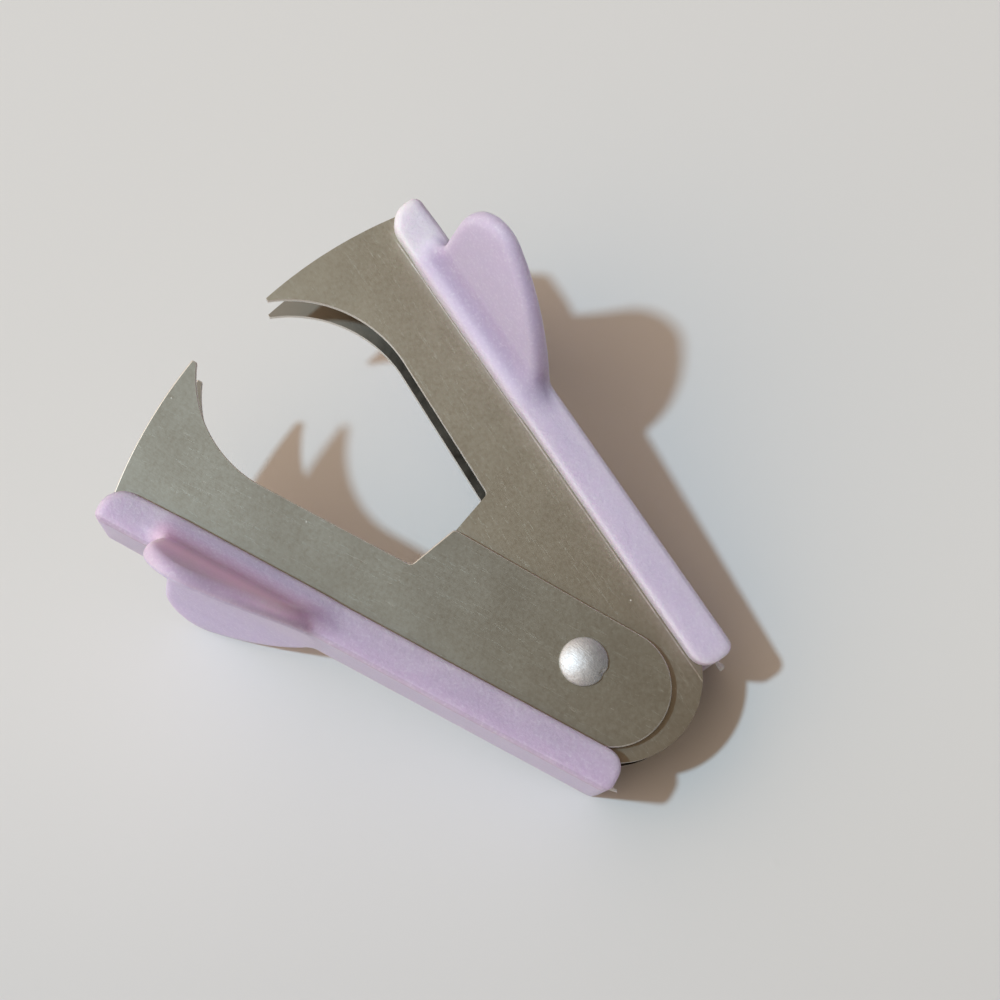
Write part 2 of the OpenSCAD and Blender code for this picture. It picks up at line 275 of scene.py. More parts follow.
def folded_sheet(claw):
    """Closed mesh of a folded claw in its leaned frame, with sharp cut edges."""
    blank = bmesh.new()
    blank.faces.new([blank.verts.new((u, s, 0)) for u, s in blank_outline(claw)])
    for side in (-1, 1):
        for t in np.linspace(0, 1, FOLD_CUTS):
            cut = (0, side * (claw.flat + t * (claw.fold_end - claw.flat)), 0)
            everything = blank.verts[:] + blank.edges[:] + blank.faces[:]
            bmesh.ops.bisect_plane(blank, geom=everything, dist=1e-5, plane_co=cut, plane_no=(0, 1, 0))
    blank.verts.index_update()
    folded = [fold_up(claw, v.co.x, v.co.y) for v in blank.verts]
    outside = [np.array(p) for p, _ in folded]
    inside = [np.array(p) + SHEET * np.array(n) for p, n in folded]
    count = len(outside)
    faces = [[v.index for v in f.verts] for f in blank.faces]
    faces += [[v.index + count for v in reversed(f.verts)] for f in blank.faces]
    for edge in blank.edges:
        if edge.is_boundary:
            a, b = (v.index for v in edge.verts)
            faces.append([a, b, b + count, a + count])
    blank.free()
    return outside + inside, faces


def drill(obj, base, direction, radius, length):
    """Cuts a round hole through base, while the mesh is still in its leaned frame."""
    cutter = bmesh.new()
    bmesh.ops.create_cone(cutter, segments=64, cap_ends=True, radius1=radius, radius2=radius, depth=length)
    turn = Vector((0, 0, 1)).rotation_difference(Vector(direction)).to_matrix().to_4x4()
    cutter.transform(Matrix.Translation(base) @ turn)
    mesh = bpy.data.meshes.new("cutter")
    cutter.to_mesh(mesh)
    cutter.free()
    tool = bpy.data.objects.new("cutter", mesh)
    bpy.context.scene.collection.objects.link(tool)
    cut = obj.modifiers.new("hole", "BOOLEAN")
    cut.object = tool
    cut.operation = "DIFFERENCE"
    cut.solver = "EXACT"
    apply_modifiers(obj)
    bpy.data.objects.remove(tool)


def apply_modifiers(obj):
    """Replaces the object's mesh by what its modifiers make of it."""
    graph = bpy.context.evaluated_depsgraph_get()
    graph.update()
    mesh = bpy.data.meshes.new_from_object(obj.evaluated_get(graph))
    obj.modifiers.clear()
    old, obj.data = obj.data, mesh
    bpy.data.meshes.remove(old)


def mark_faces(mesh, claw):
    """Gives the outer skin, the inside and the punched edges of the sheet their materials."""
    square, askew, slack = 0.9, 0.3, 0.05
    for face in mesh.faces:
        n, c = face.normal, face.calc_center_median()
        height, off_middle = c.y + claw.web, abs(c.z)
        on_cheek = abs(n.z) > square
        on_web = abs(n.y) > square and height < SHEET + 2 * slack
        in_fold = height < FOLD_R + slack and off_middle > claw.flat - slack and abs(n.x) < askew
        deep_side = off_middle < claw.width / 2 - SHEET / 2 and height > SHEET / 2
        if on_cheek or on_web or in_fold:
            face.material_index = INSIDE if deep_side else SKIN
        else:
            face.material_index = EDGE


def break_edges(jaw):
    """Rounds the cut edges slightly and keeps the flats flat."""
    edge = jaw.modifiers.new("edges", "BEVEL")
    edge.width = BROKEN_EDGE * MM
    edge.segments = 3
    edge.limit_method = "ANGLE"
    edge.angle_limit = math.radians(38)
    edge.material = EDGE
    flatten = jaw.modifiers.new("normals", "WEIGHTED_NORMAL")
    flatten.weight = 100


def build_jaw(claw, materials):
    """The folded claw, drilled for the rivet and for the grip's stakes."""
    through_cheeks, through_web = 40, 6
    vertices, faces = folded_sheet(claw)
    jaw = new_object(NAME[claw.side] + "_jaw_sheet", vertices, faces)
    point_outward(jaw)
    slip = SLIP if claw.side == OUTER else TURNING_SLIP
    drill(jaw, (0, 0, 0), (0, 0, 1), SHANK_R + slip, through_cheeks)
    for u in STAKE_U:
        drill(jaw, (u, -claw.web, 0), (0, 1, 0), STAKE_R + SLIP, through_web)
    mesh = bmesh.new()
    mesh.from_mesh(jaw.data)
    bmesh.ops.remove_doubles(mesh, verts=mesh.verts, dist=1e-4)
    mark_faces(mesh, claw)
    mesh.to_mesh(jaw.data)
    mesh.free()
    settle(jaw, claw, np.array([v.co for v in jaw.data.vertices]))
    for material in materials:
        jaw.data.materials.append(material)
    break_edges(jaw)
    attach(jaw, BODY[claw.side])
    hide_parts(NAME[claw.side] + "_jaw")


# ---------------------------------------------------------------- moulded grips
BAR_EDGE_R = 0.32
NOSE_EDGE_R = 0.82
NOSE_U = (42.0, 46.0)
NOSE_LIP_R = 2.5
NOSE_BACK_R = 0.9
REAR_LIP_R = 1.9
REAR_BACK_R = 1.1
WING_HALF = 16.55
WING_TIP_U = 35.8
WING_T = 1.5
WING_DRAFT = 0.5
WING_RIM_R = 0.68
WING_CORNER_R = 4.2
WING_TRAIL_R = 18.6
WING_TRAIL_TURN = 112
WING_BACK_FILLET = 0.3
WING_ROOT_FILLET = 2.9
SEAT_GAP = 0.03
SEAT_EDGE = 0.2
STAKE_HALF = 1.1
STAKE_EDGE_R = 0.1
STAKE_HEAD_R = 2.1
STAKE_HEAD_HALF = 0.25
STAKE_HEAD_EDGE_R = 0.24
GATE_V = 1.65
GATE_R = 0.62
GATE_REACH = 0.85
GATE_SLANT = 0.2
GATE_EDGE_R = 0.15
GATE_FILLET = 0.4
HOLLOW_U = (27.0, 39.3)
HOLLOW_V = 0.45
HOLLOW_OUT = 2.0
HOLLOW_R = 3.0
HOLLOW_EDGE = 0.6


def length2(a, b):
    """Length of the flat vector (a, b)."""
    return np.sqrt(a * a + b * b)


def convex(a, b, corners):
    """Signed distance to a convex outline whose corners run counterclockwise."""
    over = nearest = None
    for (a0, b0), (a1, b1) in zip(corners, corners[1:] + corners[:1]):
        da, db = a1 - a0, b1 - b0
        t = np.clip(((a - a0) * da + (b - b0) * db) / (da * da + db * db), 0, 1)
        gap = length2(a - a0 - t * da, b - b0 - t * db)
        out = ((a - a0) * db - (b - b0) * da) / math.hypot(da, db)
        nearest = gap if nearest is None else np.minimum(nearest, gap)
        over = out if over is None else np.maximum(over, out)
    return np.where(over > 0, nearest, over)


def rounded(a, b, r):
    """Distance to where both a and b are below zero, with their meeting edge rounded by r."""
    a, b = a + r, b + r
    return np.minimum(np.maximum(a, b), 0) + length2(np.maximum(a, 0), np.maximum(b, 0)) - r


def merge(a, b, k):
    """Union with a fillet of about k."""
    h = np.clip(0.5 + 0.5 * (b - a) / k, 0, 1)
    return b + (a - b) * h - k * h * (1 - h)


def carve(a, b, k):
    """a without b, with a soft edge of about k."""
    return -merge(-a, b, k)


def ease(low, high, x):
    """0 below low, 1 above high, smooth between."""
    t = np.clip((x - low) / (high - low), 0, 1)
    return t * t * (3 - 2 * t)


def bar_outline(claw):
    """Side outline of the bar: well rounded towards the claw, less on the finger side."""
    rear, front = claw.grip_u
    back, lip = -claw.back, GRIP_DEPTH - claw.back
    points = arc((front - NOSE_BACK_R, back + NOSE_BACK_R), NOSE_BACK_R, -90, 0, 5)
    points += arc((front - NOSE_LIP_R, lip - NOSE_LIP_R), NOSE_LIP_R, 0, 90, 9)
    points += arc((rear + REAR_LIP_R, lip - REAR_LIP_R), REAR_LIP_R, 90, 180, 8)
    return points + arc((rear + REAR_BACK_R, back + REAR_BACK_R), REAR_BACK_R, 180, 270, 6)


def planform():
    """Outline of the pair of wings, seen from the finger side: u, then z."""
    tip_z = WING_HALF - WING_CORNER_R
    turn = math.radians(WING_TRAIL_TURN)
    step = WING_TRAIL_R - WING_CORNER_R
    trail = (WING_TIP_U - step * math.cos(turn), tip_z - step * math.sin(turn))
    last = 180 + math.degrees(math.asin(trail[1] / WING_TRAIL_R))
    points = arc((WING_TIP_U, tip_z), WING_CORNER_R, 0, WING_TRAIL_TURN, 10)
    points += arc(trail, WING_TRAIL_R, WING_TRAIL_TURN, last, 12)[1:]
    return points + [(u, -z) for u, z in reversed(points[:-1])]


def bar_field(claw, u, v, z):
    """Distance to the grip's bar, its edges softer round its nose."""
    edge_r = BAR_EDGE_R + (NOSE_EDGE_R - BAR_EDGE_R) * ease(*NOSE_U, u)
    return rounded(convex(u, v, bar_outline(claw)), np.abs(z) - GRIP_HALF, edge_r)


def wing_field(claw, u, v, z):
    """Distance to the pair of wings: a saddle-shaped leaf with a rounded rim, thicker at its root."""
    sag = claw.rise * (z / WING_HALF) ** 2
    slope = 2 * claw.rise * z / WING_HALF ** 2
    half = WING_T / 2 + WING_DRAFT * (1 - np.abs(z) / WING_HALF)
    across = np.abs(v + claw.back + sag - half) / np.sqrt(1 + slope ** 2) - half
    return rounded(convex(u, z, planform()), across, WING_RIM_R)


def seat_field(claw, u, v, z):
    """Distance to the channel that holds the claw."""
    nose_u, nose_v = claw.leaned(claw.nose)
    section = rounded(np.abs(z) - claw.width / 2 - SEAT_GAP, -v - claw.web - SEAT_GAP, FOLD_R)
    front = length2(u - nose_u, v - nose_v) - claw.nose_r - SEAT_GAP
    return np.maximum(section, front)


def stake_field(claw, u, v, z):
    """Distance to the stakes through the web and their spread heads."""
    above_web = v + claw.web
    above_head = above_web - SHEET - 2 * SLIP - STAKE_HEAD_HALF
    stakes = []
    for stake_u in STAKE_U:
        off_axis = length2(u - stake_u, z)
        stakes.append(rounded(off_axis - STAKE_R, np.abs(above_web) - STAKE_HALF, STAKE_EDGE_R))
        thickness = np.abs(above_head) - STAKE_HEAD_HALF
        stakes.append(rounded(off_axis - STAKE_HEAD_R, thickness, STAKE_HEAD_EDGE_R))
    return np.minimum.reduce(stakes)


def gate_field(claw, u, v, z):
    """Distance to the stub of the moulding gate on the rear end, its side and its end ragged."""
    along = u - claw.grip_u[0]
    radius = GATE_R + 0.12 * np.sin(5 * u + 3) + 0.1 * np.sin(7 * v + 4 * z)
    reach = GATE_REACH + 0.12 * np.sin(9 * z + 4 * v)
    off_axis = length2(v + claw.back - GATE_V - GATE_SLANT * along, z)
    return rounded(off_axis - radius, np.abs(along) - reach, GATE_EDGE_R)


def hollow_field(claw, u, v, z):
    """Distance to the shallow hollows in the bar's sides, tapering out beside the roots of the wings."""
    rear, front = HOLLOW_U
    along = np.maximum(np.maximum(2 * (u - front), 0.9 * (rear - u)), 0)
    up = v + claw.back - HOLLOW_V
    out = np.abs(z) - GRIP_HALF - HOLLOW_OUT
    return np.sqrt(along ** 2 + up ** 2 + out ** 2) - HOLLOW_R


def grip_field(claw, u, v, z):
    """Distance to a whole grip, its wings running into the bar with a wider fillet on the claw side."""
    claw_side = ease(-0.4, 1.6, v + claw.back)
    wing_fillet = WING_BACK_FILLET + (WING_ROOT_FILLET - WING_BACK_FILLET) * claw_side
    bar = carve(bar_field(claw, u, v, z), hollow_field(claw, u, v, z), HOLLOW_EDGE)
    field = merge(bar, wing_field(claw, u, v, z), wing_fillet)
    field = merge(field, gate_field(claw, u, v, z), GATE_FILLET)
    field = carve(field, seat_field(claw, u, v, z), SEAT_EDGE)
    return np.minimum(field, stake_field(claw, u, v, z))


def surface_nets(field, low, high, step):
    """Closed quad mesh on the field's zero level, one vertex in each crossed cell."""
    axes = [np.arange(a, b + step, step) for a, b in zip(low, high)]
    grid = field(*np.meshgrid(*axes, indexing="ij", sparse=True))
    inside = grid < 0
    shape = tuple(n - 1 for n in grid.shape)
    total = np.zeros(shape + (3,))
    crossings = np.zeros(shape)
    offsets = [(i, j, k) for i in (0, 1) for j in (0, 1) for k in (0, 1)]

    def corner(values, o):
        return values[o[0]:o[0] + shape[0], o[1]:o[1] + shape[1], o[2]:o[2] + shape[2]]

    for a in offsets:
        for axis in range(3):
            if a[axis]:
                continue
            b = tuple(1 if i == axis else a[i] for i in range(3))
            da, db = corner(grid, a), corner(grid, b)
            crossed = corner(inside, a) != corner(inside, b)
            t = np.where(crossed, da / np.where(crossed, da - db, 1), 0)
            for i in range(3):
                total[..., i] += crossed * (a[i] + (t if i == axis else 0))
            crossings += crossed
    active = crossings > 0
    index = np.full(shape, -1)
    index[active] = np.arange(active.sum())
    cells = np.argwhere(active)
    points = (cells + total[active] / crossings[active][:, None]) * step + np.array(low)
    return points, net_faces(inside, index)


def net_faces(inside, index):
    """A quad across every grid edge that the surface crosses."""
    faces = []
    for axis in range(3):
        b, c = [i for i in range(3) if i != axis]
        near = inside[tuple(slice(0, -1) if i == axis else slice(1, -1) for i in range(3))]
        far = inside[tuple(slice(1, None) if i == axis else slice(1, -1) for i in range(3))]
        place = np.argwhere(near != far) + np.array([0 if i == axis else 1 for i in range(3)])
        around = []
        for db, dc in ((-1, -1), (0, -1), (0, 0), (-1, 0)):
            cell = place.copy()
            cell[:, b] += db
            cell[:, c] += dc
            around.append(index[tuple(cell.T)])
        faces.append(np.stack(around, 1))
    return np.concatenate(faces)


def pull_onto(field, points, step):
    """Moves points along the field's slope onto its zero level, by at most half a step at a time."""
    eps = step * 0.1
    for _ in range(4):
        value = field(*points.T)
        slope = np.empty_like(points)
        for i in range(3):
            shift = np.zeros(3)
            shift[i] = eps
            slope[:, i] = (field(*(points + shift).T) - field(*(points - shift).T)) / (2 * eps)
        size = np.maximum((slope ** 2).sum(1), 0.05)
        move = -(value / size)[:, None] * slope
        reach = np.linalg.norm(move, axis=1, keepdims=True)
        points = points + move * np.minimum(1, 0.5 * step / np.maximum(reach, 1e-9))
    return points


def build_grip(claw, material):
    """The moulded grip, meshed from its distance field."""
    step = 0.22
    gate_room, wing_room, bar_room = 1.6, 0.8, 0.6

    def field(u, v, z):
        return grip_field(claw, u, v, z)

    low = (claw.grip_u[0] - gate_room, -claw.back - claw.rise - wing_room, -WING_HALF - wing_room)
    high = (claw.grip_u[1] + bar_room, -claw.back + GRIP_DEPTH + bar_room, WING_HALF + wing_room)
    points, faces = surface_nets(field, low, high, step)
    points = pull_onto(field, points, step)
    grip = new_object(NAME[claw.side] + "_grip_moulding", points, faces)
    settle(grip, claw, points)
    grip.data.materials.append(material)
    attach(grip, BODY[claw.side])
    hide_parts(NAME[claw.side] + "_grip")


# ---------------------------------------------------------------- rivet
HEAD_R = 2.3
HEAD_H = 1.05
HEAD_RIM = 0.22
# Radius, and distance below the lower cheek, round the flattened tail and into its dimple.
TAIL = [(1.9, 0), (2.06, 0.06), (2.1, 0.2), (2.04, 0.42), (1.85, 0.56), (1.6, 0.6), (1.35, 0.56),
        (1.1, 0.4), (0.8, 0.3), (0, 0.27)]


def upright(points):
    """Points drawn about the pivot, in millimetres, as row-frame metres."""
    p = np.asarray(points, float) * MM
    basis = np.array([FORWARD, SIDE, AXIS])
    return np.array(PIVOT) + p @ basis


def rivet_profile():
    """Radius and height pairs from the head's crown to the middle of the tail."""
    face = OUTER_CLAW.width / 2 + SLIP
    crown = face + HEAD_H
    dome_h = HEAD_H - HEAD_RIM
    dome_r = (HEAD_R ** 2 + dome_h ** 2) / (2 * dome_h)
    neck = 0.05
    profile = [(0, crown)]
    for a in np.linspace(0, math.asin(HEAD_R / dome_r), 18)[1:]:
        profile.append((dome_r * math.sin(a), crown - dome_r * (1 - math.cos(a))))
    profile += [(HEAD_R + 0.03, face + 0.12), (HEAD_R - 0.02, face + 0.03), (HEAD_R - 0.1, face)]
    profile += [(SHANK_R + neck, face), (SHANK_R, face - neck)]
    profile += [(SHANK_R, -face + neck), (SHANK_R + neck, -face)]
    return profile + [(radius, -face - below) for radius, below in TAIL]


def lathe(profile, turns):
    """Points and faces of a profile turned about the pivot. Its two ends are on the axis."""
    points = [(0, 0, profile[0][1])]
    for radius, height in profile[1:-1]:
        for a in np.linspace(0, 2 * math.pi, turns, endpoint=False):
            points.append((radius * math.cos(a), radius * math.sin(a), height))
    points.append((0, 0, profile[-1][1]))
    faces = [(0, 1 + k, 1 + (k + 1) % turns) for k in range(turns)]
    for ring in range(len(profile) - 3):
        a, b = 1 + ring * turns, 1 + (ring + 1) * turns
        faces += [(a + k, b + k, b + (k + 1) % turns, a + (k + 1) % turns) for k in range(turns)]
    last, end = 1 + (len(profile) - 3) * turns, len(points) - 1
    faces += [(last + k, end, last + (k + 1) % turns) for k in range(turns)]
    return np.array(points), faces


def dented(points):
    """A small nick in the rim of the head, where the setting tool slipped."""
    nick_r, push_in, push_down = 0.38, 0.24, 0.1
    outward = np.array((-0.98, -0.19, 0))
    nick = outward * (HEAD_R - 0.1) + np.array((0, 0, OUTER_CLAW.width / 2 + 0.35))
    near = np.exp(-(np.linalg.norm(points - nick, axis=1) / nick_r) ** 2)
    return points - near[:, None] * (outward * push_in + np.array((0, 0, push_down)))


def build_rivet(material):
    """The rivet, fixed in the outer claw."""
    points, faces = lathe(rivet_profile(), 96)
    points = dented(points)
    rivet = new_object("pivot_rivet_formed", upright(points), faces)
    keep_local(rivet, points)
    point_outward(rivet)
    rivet.data.materials.append(material)
    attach(rivet, BODY[OUTER])
    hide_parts("pivot_rivet")


# ---------------------------------------------------------------- spring
WIRE_R = 0.4
COIL_R = 2.7
COIL_TURNS = 3
COIL_PITCH = 0.92
LEG_U = 17.0
LEG_GAP = 0.07
TURN_POINTS = 48
LEG_POINTS = 12


def straight(start, end, count):
    """Points from start to end, both included."""
    return [start + (end - start) * t for t in np.linspace(0, 1, count)]


def wire_centre_line():
    """Inner leg, coil round the rear of the rivet and outer leg, about the pivot; and the coil's length."""
    off_web = SHEET + WIRE_R + LEG_GAP
    angle, reach, leave = {}, {}, {}
    for side, claw in CLAWS.items():
        leg_v = claw.web - off_web
        reach[side] = math.hypot(LEG_U, leg_v)
        angle[side] = side * (HALF_OPEN + claw.lean + math.atan2(leg_v, LEG_U))
        leave[side] = angle[side] + side * math.acos(COIL_R / reach[side])
    sweep = 2 * math.pi * (COIL_TURNS + 1) - (leave[OUTER] - leave[INNER])
    length = COIL_PITCH * sweep / (2 * math.pi)
    count = int(TURN_POINTS * sweep / (2 * math.pi))
    coil = []
    for i in range(count + 1):
        a = leave[INNER] - sweep * i / count
        coil.append(np.array((COIL_R * math.cos(a), COIL_R * math.sin(a), length * (i / count - 0.5))))
    tip = {}
    for side in CLAWS:
        a = angle[side]
        tip[side] = np.array((reach[side] * math.cos(a), reach[side] * math.sin(a), side * length / 2))
    inner_leg = straight(tip[INNER], coil[0], LEG_POINTS)
    outer_leg = straight(coil[-1], tip[OUTER], LEG_POINTS)
    return inner_leg[:-1] + coil + outer_leg[1:], length


def wire_tube(path, sides):
    """Points and faces of the wire along a path, its ends closed and slightly narrowed."""
    points, faces = [], []
    last = len(path) - 1
    for i, p in enumerate(path):
        along = path[min(i + 1, last)] - path[max(i - 1, 0)]
        along = along / np.linalg.norm(along)
        out = np.cross(along, (0, 0, 1))
        out /= np.linalg.norm(out)
        up = np.cross(out, along)
        shrink = 0.8 if i in (0, last) else 1
        for k in range(sides):
            a = 2 * math.pi * k / sides
            points.append(p + WIRE_R * shrink * (math.cos(a) * out + math.sin(a) * up))
    for i in range(last):
        for k in range(sides):
            a, b = i * sides + k, i * sides + (k + 1) % sides
            faces.append((a, a + sides, b + sides, b))
    faces.append(tuple(range(sides)))
    faces.append(tuple(last * sides + k for k in reversed(range(sides))))
    return points, faces


def build_spring(material):
    """The wire spring, its legs on the two claws and its coil between them, baked in place."""
    path, length = wire_centre_line()
    points, faces = wire_tube(path, 14)
    spring = new_object("torsion_spring_wire", upright(points), faces)
    keep_local(spring, points)
    point_outward(spring)
    spring.data.materials.append(material)
    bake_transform(spring)
    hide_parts("torsion_spring")


# ---------------------------------------------------------------- materials
# The part's materials read the stored millimetres, so their limits are in millimetres. Bump
# distances are in metres.
class Nodes:
    """Short names for building a material's node tree."""

    def __init__(self, name):
        self.material = bpy.data.materials.new(name)
        self.material.use_nodes = True
        self.tree = self.material.node_tree
        self.tree.nodes.clear()

    def add(self, kind, **inputs):
        node = self.tree.nodes.new("ShaderNode" + kind)
        for key, value in inputs.items():
            self.fill(node.inputs[key.replace("_", " ")], value)
        return node

    def fill(self, socket, value):
        """Links an output to the socket, or gives the socket a plain value."""
        if hasattr(value, "is_output"):
            self.tree.links.new(value, socket)
        else:
            socket.default_value = value

    def local(self):
        """The millimetres that keep_local stored."""
        node = self.add("Attribute")
        node.attribute_name = "local"
        return node.outputs["Vector"]

    def split(self, vector):
        """The x, y and z of a vector."""
        return tuple(self.add("SeparateXYZ", Vector=vector).outputs)

    def stretch(self, vector, scale):
        """The vector scaled along each axis; a small scale draws a pattern out."""
        return self.add("Mapping", Vector=vector, Scale=scale).outputs["Vector"]

    def noise(self, vector, scale, detail, rough, distort=0.0):
        node = self.add("TexNoise", Vector=vector, Scale=scale, Detail=detail, Roughness=rough,
                        Distortion=distort)
        return node.outputs["Fac"]

    def ramp(self, fac, stops):
        """A grey scale through (place, level) stops."""
        node = self.add("ValToRGB", Fac=fac)
        elements = node.color_ramp.elements
        while len(elements) < len(stops):
            elements.new(0.5)
        for element, (place, level) in zip(elements, stops):
            element.position = place
            element.color = (level, level, level, 1)
        return node.outputs["Color"]

    def math(self, kind, a, b=0.0):
        node = self.add("Math")
        node.operation = kind
        self.fill(node.inputs[0], a)
        self.fill(node.inputs[1], b)
        return node.outputs[0]

    def product(self, first, *others):
        for other in others:
            first = self.math("MULTIPLY", first, other)
        return first

    def total(self, first, *others):
        for other in others:
            first = self.math("ADD", first, other)
        return first

    def fade(self, value, start, end):
        """0 at start, 1 at end, smooth between."""
        node = self.add("MapRange", Value=value, From_Min=start, From_Max=end)
        node.interpolation_type = "SMOOTHSTEP"
        return node.outputs[0]

    def mix(self, share, a, b):
        """Colour a, with a share of colour b."""
        node = self.tree.nodes.new("ShaderNodeMix")
        node.data_type = "RGBA"
        for key, value in (("Factor", share), ("A", a), ("B", b)):
            self.fill([s for s in node.inputs if s.name == key and s.enabled][0], value)
        return [s for s in node.outputs if s.enabled][0]

    def bump(self, height, strength, distance, **inputs):
        node = self.add("Bump", Height=height, Strength=strength, Distance=distance, **inputs)
        return node.outputs["Normal"]

    def finish(self, tone, rough, normal, **inputs):
        """The material with its principled surface."""
        shader = self.add("BsdfPrincipled", Base_Color=tone, Roughness=rough, Normal=normal, **inputs)
        out = self.tree.nodes.new("ShaderNodeOutputMaterial")
        self.tree.links.new(shader.outputs[0], out.inputs["Surface"])
        return self.material


def rgba(r, g, b):
    return (r, g, b, 1)


def shade(colour, share):
    """A darker colour."""
    return rgba(*(c * share for c in colour))


def steel_grain(n, local):
    """Fine rolling grain along the claw."""
    return n.noise(n.stretch(local, (0.6, 5.0, 5.0)), 2.2, 3, 0.6)


def steel_specks(n, local):
    """Sparse specks, each with its own strength."""
    cells = n.add("TexVoronoi", Vector=local, Scale=0.36, Randomness=1.0)
    own = n.add("SeparateColor", Color=cells.outputs["Color"]).outputs[0]
    return n.product(n.ramp(cells.outputs["Distance"], [(0.02, 1.0), (0.045, 0.0)]),
                     n.ramp(own, [(0.2, 0.1), (1.0, 1.0)]))


def steel_scratches(n, local):
    """Hairline scratches, mostly along the claw."""
    field = n.noise(n.stretch(local, (0.25, 3.0, 3.0)), 1.2, 2, 0.5, 1.2)
    return n.ramp(field, [(0.655, 0.0), (0.665, 1.0), (0.675, 0.0)])


def lip_reflection_line(n, local, lip, lip_reflection_share):
    """A broken bright line just past the grip's lip, ending short of the nose: a painted reflection of the
    lip.
    """
    u, v, _ = n.split(local)
    off_line = n.math("ABSOLUTE", n.math("SUBTRACT", v, lip + 0.17))
    broken = n.ramp(n.noise(local, 0.35, 3, 0.6), [(0.4, 0.25), (0.55, 1.0)])
    return n.product(n.ramp(off_line, [(0.04, 1.0), (0.09, 0.0)]), lip_reflection_share, n.fade(u, 44.2, 43.4), broken)


def steel_skin(name, claw, front, rear, lip_reflection_share):
    """Satin plated sheet: mottled, with specks and scratches. Painted reflection: lighter and cooler at the
    front, darker and warmer towards the pivot, and a broken bright line just past the grip's lip."""
    n = Nodes(name)
    local = n.local()
    mottle = n.noise(local, 2.6, 5, 0.7)
    clouds = n.noise(local, 0.3, 3, 0.5, 0.6)
    speck = steel_specks(n, local)
    scratch = steel_scratches(n, local)
    # painted reflection of the grip's lip: a bright line on the steel, strong on the inner claw, faint on
    # the outer
    line = lip_reflection_line(n, local, GRIP_DEPTH - claw.back, lip_reflection_share)
    # painted reflection: lighter and cooler towards the front, darker and warmer towards the pivot
    painted_reflection = n.ramp(n.total(n.product(n.split(local)[0], 1 / 45), 0.5), [(0.12, 0.0), (0.85, 1.0)])
    tone = n.mix(painted_reflection, rgba(*rear), rgba(*front))
    tone = n.mix(n.ramp(mottle, [(0.3, 0.13), (0.5, 0.0)]), tone, shade(rear, 0.5))
    tone = n.mix(n.ramp(mottle, [(0.5, 0.0), (0.72, 0.10)]), tone, rgba(0.62, 0.6, 0.53))
    tone = n.mix(n.ramp(clouds, [(0.35, 0.10), (0.6, 0.0)]), tone, rgba(0.2, 0.17, 0.12))
    tone = n.mix(n.product(speck, 0.8), tone, rgba(0.85, 0.82, 0.74))
    tone = n.mix(n.product(scratch, 0.35), tone, rgba(0.7, 0.68, 0.6))
    tone = n.mix(n.product(line, 0.7), tone, rgba(0.85, 0.83, 0.76))
    rough = n.total(0.34, n.product(mottle, 0.2), n.product(speck, 0.3), n.product(line, -0.15))
    height = n.total(n.product(steel_grain(n, local), 0.5), n.product(mottle, 0.6),
                     n.product(scratch, -0.35), n.product(speck, 2.0))
    wave = n.bump(n.noise(local, 0.09, 1, 0.5), 0.2, 0.0008)
    normal = n.bump(height, 0.3, 0.00003, Normal=wave)
    return n.finish(tone, rough, normal, Metallic=1.0)


def steel_inside(name):
    """The hollow side of the claws: painted shade, very dark and patchy deep in the channel, lighter towards
    the fangs where light gets in.
    """
    n = Nodes(name)
    local = n.local()
    shade_patches = n.noise(local, 0.5, 4, 0.6, 0.5)
    # painted shade: very dark patchy steel deep in the channel, lifted towards the fangs where light gets in
    tone = n.mix(n.ramp(shade_patches, [(0.35, 0.0), (0.7, 1.0)]), rgba(0.05, 0.043, 0.034), rgba(0.12, 0.105, 0.085))
    tone = n.mix(n.fade(n.split(local)[0], 34.0, 43.0), tone, rgba(0.30, 0.265, 0.215))
    rough = n.total(0.38, n.product(shade_patches, 0.25))
    return n.finish(tone, rough, n.bump(steel_grain(n, local), 0.3, 0.00003), Metallic=1.0)


def cut_edge(name, colour):
    """Punched edge: paler and half matt, with fine shear marks."""
    n = Nodes(name)
    marks = n.noise(n.local(), 14.0, 2, 0.6)
    tone = n.mix(n.ramp(marks, [(0.3, 0.0), (0.7, 1.0)]), rgba(*colour), shade(colour, 0.72))
    rough = n.total(0.3, n.product(marks, 0.2))
    return n.finish(tone, rough, n.bump(marks, 0.3, 0.00003), Metallic=0.92)


def wing_shading_mask(n, z, level, foot, rim):
    """Where the wings' claw sides get painted light or shade, full from z = foot outwards; rim is the share
    that reaches their edges.
    """
    on_face = n.math("MAXIMUM", n.product(n.fade(level, 0.5, 1.2), n.fade(z, 16.5, 11.0)), rim)
    return n.product(on_face, n.fade(z, 5.2, foot), n.fade(level, 0.1, 0.4))


def valley_shading_mask(n, u, z, depth):
    """The creases between the bar and the roots of the wings, where light or shade is painted."""
    off_z, off_depth = n.math("SUBTRACT", z, 6.6), n.math("SUBTRACT", depth, 1.6)
    off_crease = n.total(n.product(off_z, off_z), n.product(off_depth, off_depth))
    beside_wing = n.product(n.fade(u, 20.0, 28.0), n.fade(u, 41.9, 40.5))
    return n.product(beside_wing, n.fade(off_crease, 2.8, 0.1))


def parting_shade_mask(n, z, depth, level):
    """Painted shade of a fine groove at the mould's parting line along the bar's finger-side edges, kept off
    the backs of the wings.
    """
    beside = n.product(n.fade(z, 4.9, 5.2), n.fade(z, 6.0, 5.7))
    return n.product(beside, n.fade(depth, 0.45, 0.3), n.fade(level, 0.08, 0.2))


def stub_mask(n, claw, u, z):
    """The torn stub of the moulding gate."""
    rear = claw.grip_u[0]
    return n.product(n.fade(u, rear + 0.2, rear - 0.3), n.fade(z, 1.3, 0.9))


